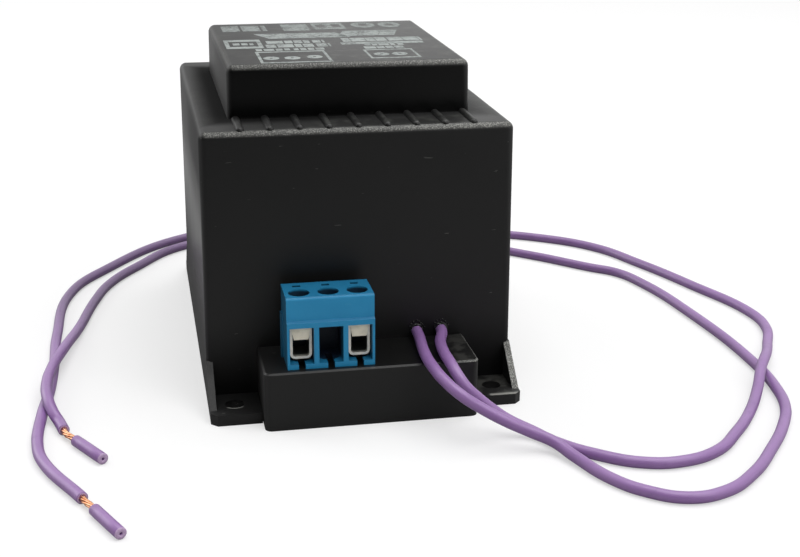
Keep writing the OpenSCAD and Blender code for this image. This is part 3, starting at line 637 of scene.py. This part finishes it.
# ---------------------------------------------------------------- stamped marks on the plateau
def stamped_marks():
    """Plain boxes, dots and worn bands, stamped on the top."""
    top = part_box("housing")[1].z / MM + 0.02
    bm = bmesh.new()

    def bar(x0, x1, y0, y1, slant=0.0):
        made = bmesh.ops.create_grid(bm, x_segments=1, y_segments=1, size=0.5)["verts"]
        for v in made:
            v.co = ((x0 + x1) / 2 + v.co.x * (x1 - x0) + slant * v.co.y,
                    (y0 + y1) / 2 + v.co.y * (y1 - y0), top)

    def frame_bars(x0, x1, y0, y1, wide, deep):
        bar(x0, x1, y0, y0 + deep)
        bar(x0, x1, y1 - deep, y1)
        bar(x0, x0 + wide, y0 + deep, y1 - deep)
        bar(x1 - wide, x1, y0 + deep, y1 - deep)

    def ring(x, y, outer, inner, squash=1.0):
        edges = []
        for radius in (outer, inner):
            loop = bmesh.ops.create_circle(bm, cap_ends=False, radius=radius, segments=28)
            bmesh.ops.scale(bm, verts=loop["verts"], vec=(1, squash, 1))
            bmesh.ops.translate(bm, verts=loop["verts"], vec=(x, y, top))
            edges += {edge for v in loop["verts"] for edge in v.link_edges}
        bmesh.ops.bridge_loops(bm, edges=edges)

    def dashes(x0, x1, y0, y1, seed, gap=0.35, slant=0.0):
        x, step = x0, 0
        while x < x1:
            w = (y1 - y0) * (0.35 + 1.2 * abs(noise.noise(Vector((seed * 3.1, step * 1.7, 0.4)))))
            bar(x, min(x + w, x1), y0, y1, slant)
            x += w + gap * (1 + (step % 4 == 3))
            step += 1

    frame_bars(-15.6, -2.7, -23.7, -11.4, 0.55, 1.1)
    frame_bars(4.5, 13.8, -21.6, -11.9, 0.45, 0.9)
    for x, y in ((-13.3, -18.6), (-9.5, -18.8), (-5.4, -18.2), (7.1, -17.2), (10.5, -17.2)):
        ring(x, y, 1.45, 0.3, 1.15)
    dashes(-15.2, -2.4, -10.6, -8.4, 1)
    dashes(5.2, 12.9, -11.0, -8.4, 2, 0.25)
    dashes(5.8, 13.4, -7.6, -5.2, 3, 0.25)
    frame_bars(-20.4, -13.4, -7.4, 2.8, 0.8, 2.2)
    dashes(-18.9, -15.0, -3.6, -1.2, 4)
    dashes(-12.9, -0.6, -7.2, -3.6, 5, 0.3)
    dashes(-12.4, -1.2, -2.6, 0.6, 6, 0.3)
    bar(1.6, 17.6, -5.6, -3.2)
    dashes(2.4, 18.0, -2.4, 2.0, 7, 0.15)
    dashes(-12.6, 3.6, 3.4, 9.6, 8, 0.2, -2.6)
    dashes(3.4, 14.6, 4.6, 11.2, 9, 0.12, 1.8)
    dashes(-19.6, -10.6, 13.4, 20.6, 10, 0.5)
    bar(-7.3, -1.9, 12.8, 21.6)
    frame_bars(-0.9, 5.6, 13.8, 22.6, 0.7, 2.4)
    bar(1.7, 3.1, 16.2, 20.2)
    ring(9.7, 18.6, 2.5, 1.0, 1.5)
    ring(15.2, 18.2, 2.3, 0.9, 1.6)
    bmesh.ops.scale(bm, vec=(MM, MM, MM), verts=bm.verts)
    return bm


finish_piece("stamped_marks", stamped_marks(), INK, smooth=False)


# ---------------------------------------------------------------- resin round the lead exits
def seep_collar(x, z, seed):
    """Thin collar of resin that crept out of a lead's hole, with a few loose crumbs above it."""
    bm = bmesh.new()
    bmesh.ops.create_icosphere(bm, subdivisions=4, radius=1.0)
    for v in bm.verts:
        lump = 1 + 0.22 * noise.fractal(v.co * 2.2 + Vector((seed, 0, 0)), 1.0, 2.0, 4)
        v.co = Vector((v.co.x * 1.32 * lump, v.co.y * 0.3 * lump, v.co.z * 1.3 * lump + 0.12))
    for k in range(9):
        turn = 0.35 + 0.28 * k + 0.1 * sin(seed * 9 + k)
        out = 1.35 + 0.35 * abs(sin(seed * 5 + 2.7 * k))
        size = 0.1 + 0.09 * abs(sin(seed * 3 + 1.3 * k))
        crumb = bmesh.ops.create_icosphere(bm, subdivisions=2, radius=size)["verts"]
        for v in crumb:
            v.co *= 1 + 0.4 * noise.noise(v.co * 9 + Vector((k, seed, 0)))
        bmesh.ops.translate(bm, verts=crumb, vec=(out * cos(turn), -0.1, 0.25 + out * sin(turn)))
    bmesh.ops.translate(bm, verts=bm.verts, vec=(x, FRONT_Y + 0.1, z))
    bmesh.ops.scale(bm, verts=bm.verts, vec=(MM, MM, MM))
    return bm


EXIT_Z = 11.9
finish_piece("seep_collar_a", seep_collar(LEAD_A_X, EXIT_Z, 2.0), SEEP)
finish_piece("seep_collar_b", seep_collar(LEAD_B_X, EXIT_Z, 7.0), SEEP)


# ---------------------------------------------------------------- floor, world and lamps
def floor():
    """Pale floor that keeps shadows, glows a little for the camera and, by its bounced light,
    darkens towards the front."""
    bm = bmesh.new()
    bmesh.ops.create_grid(bm, x_segments=1, y_segments=1, size=4.0)
    mesh = bpy.data.meshes.new("floor")
    bmesh.ops.translate(bm, verts=bm.verts, vec=(0, 0, -0.02 * MM))
    bm.to_mesh(mesh)
    bm.free()
    ground = bpy.data.objects.new("floor", mesh)
    look = Look("floor")
    seen = look.node("LightPath", {}, {}, "Is Camera Ray")
    look.surface.inputs["Emission Strength"].default_value = 1.0
    glow = look.mix(seen, (0, 0, 0, 1), (0.5, 0.5, 0.5, 1))
    look.tree.links.new(glow.socket, look.surface.inputs["Emission Color"])
    bounced = look.mix(look.part(1).ramp(-620.0, -140.0), (0.03, 0.03, 0.03, 1),
                       (0.42, 0.42, 0.42, 1))
    look.wear(color=look.mix(seen, bounced, (0.5, 0.5, 0.5, 1)), rough=0.9, specular=0.0)
    mesh.materials.append(look.material)
    scene.collection.objects.link(ground)


def world():
    """Grey light from all round. The camera sees a white backdrop, and gloss sees one that is
    white behind the part and fades to near black in front of it."""
    made = bpy.data.worlds.new("studio")
    made.use_nodes = True
    tree = made.node_tree

    def node(kind, settings=()):
        part = tree.nodes.new("ShaderNode" + kind)
        for key, value in settings:
            setattr(part, key, value)
        return part

    def join(source, out, target, into):
        tree.links.new(source.outputs[out], target.inputs[into])

    grey = tree.nodes["Background"]
    grey.inputs["Color"].default_value = (0.45, 0.45, 0.45, 1)
    white, shown, out = node("Background"), node("Background"), tree.nodes["World Output"]
    white.inputs["Color"].default_value = (1, 1, 1, 1)
    path, place, split = node("LightPath"), node("TexCoord"), node("SeparateXYZ")
    fade = node("MapRange", [("interpolation_type", "SMOOTHSTEP")])
    for key, value in (("From Min", -1.1), ("From Max", 0.3), ("To Min", 0.03), ("To Max", 1.0)):
        fade.inputs[key].default_value = value
    first, second = node("MixShader"), node("MixShader")
    join(place, "Generated", split, 0)
    lean = node("Math", [("operation", "MULTIPLY_ADD")])
    lean.inputs[1].default_value = 0.5
    join(split, "X", lean, 0)
    join(split, "Y", lean, 2)
    join(lean, 0, fade, "Value")
    join(fade, 0, shown, "Color")
    join(path, "Is Glossy Ray", first, 0)
    join(grey, 0, first, 1)
    join(shown, 0, first, 2)
    join(path, "Is Camera Ray", second, 0)
    join(first, 0, second, 1)
    join(white, 0, second, 2)
    join(second, 0, out, 0)
    scene.world = made


def lamp(name, place, aim, size, power):
    """Soft box at a place, turned towards a point."""
    data = bpy.data.lights.new(name, "AREA")
    data.shape = "RECTANGLE"
    data.size, data.size_y = size
    data.energy = power
    made = bpy.data.objects.new(name, data)
    made.location = place
    made.rotation_euler = (Vector(aim) - Vector(place)).to_track_quat("-Z", "Y").to_euler()
    scene.collection.objects.link(made)


floor()
world()
lamp("overhead", (0.15, 0.0, 0.9), (0, 0, 0.02), (1.0, 0.9), 6.0)
lamp("back_left", (-0.8, 0.7, 0.5), (0, 0, 0.03), (0.7, 0.7), 3.0)
lamp("front_fill", (0.6, -0.85, 0.8), (0, 0, 0.02), (0.7, 0.5), 2.2)

scene.view_settings.view_transform = "Standard"
